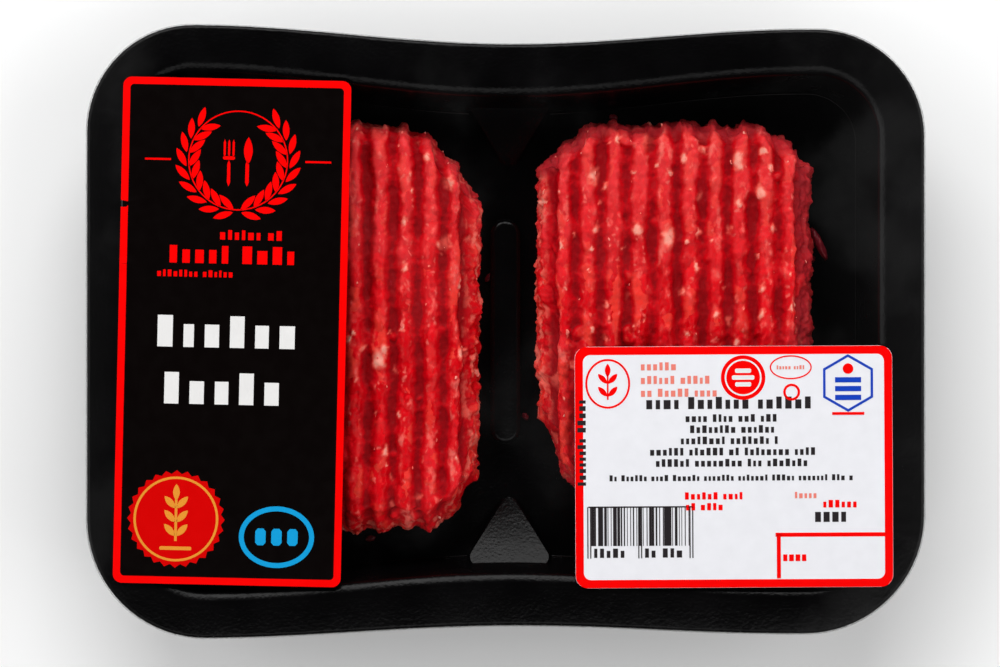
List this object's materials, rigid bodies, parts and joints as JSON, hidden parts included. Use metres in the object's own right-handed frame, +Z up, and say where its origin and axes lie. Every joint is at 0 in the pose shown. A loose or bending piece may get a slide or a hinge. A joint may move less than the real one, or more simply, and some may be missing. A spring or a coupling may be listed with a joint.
{
  "type": "meat tray pack",
  "caption": "Sealed supermarket pack: black foam tray with a waisted outline, clear stretched film, ridged raw minced steaks side by side, and printed paper labels on top.",
  "frame": {"origin": "centre of the pack's rectangular bounds, on the surface that it stands on", "axes": "+X along the tray's long sides towards the white label, +Y towards the top of the labels, +Z up out of the tray"},
  "size_m": [0.21, 0.154, 0.031],
  "materials": {
    "foam": "satin black expanded foam",
    "meat": "moist raw minced beef with pale fat specks",
    "film": "clear glossy stretch film",
    "black_paper": "glossy coated label, black with a red border",
    "white_paper": "smooth thermal label, white with a red border"
  },
  "bodies": {
    "root": {"tray": "foam", "steak_left": "meat", "steak_right": "meat", "film": "film", "label_front": "black_paper", "label_weight": "white_paper"}
  },
  "joints": []
}
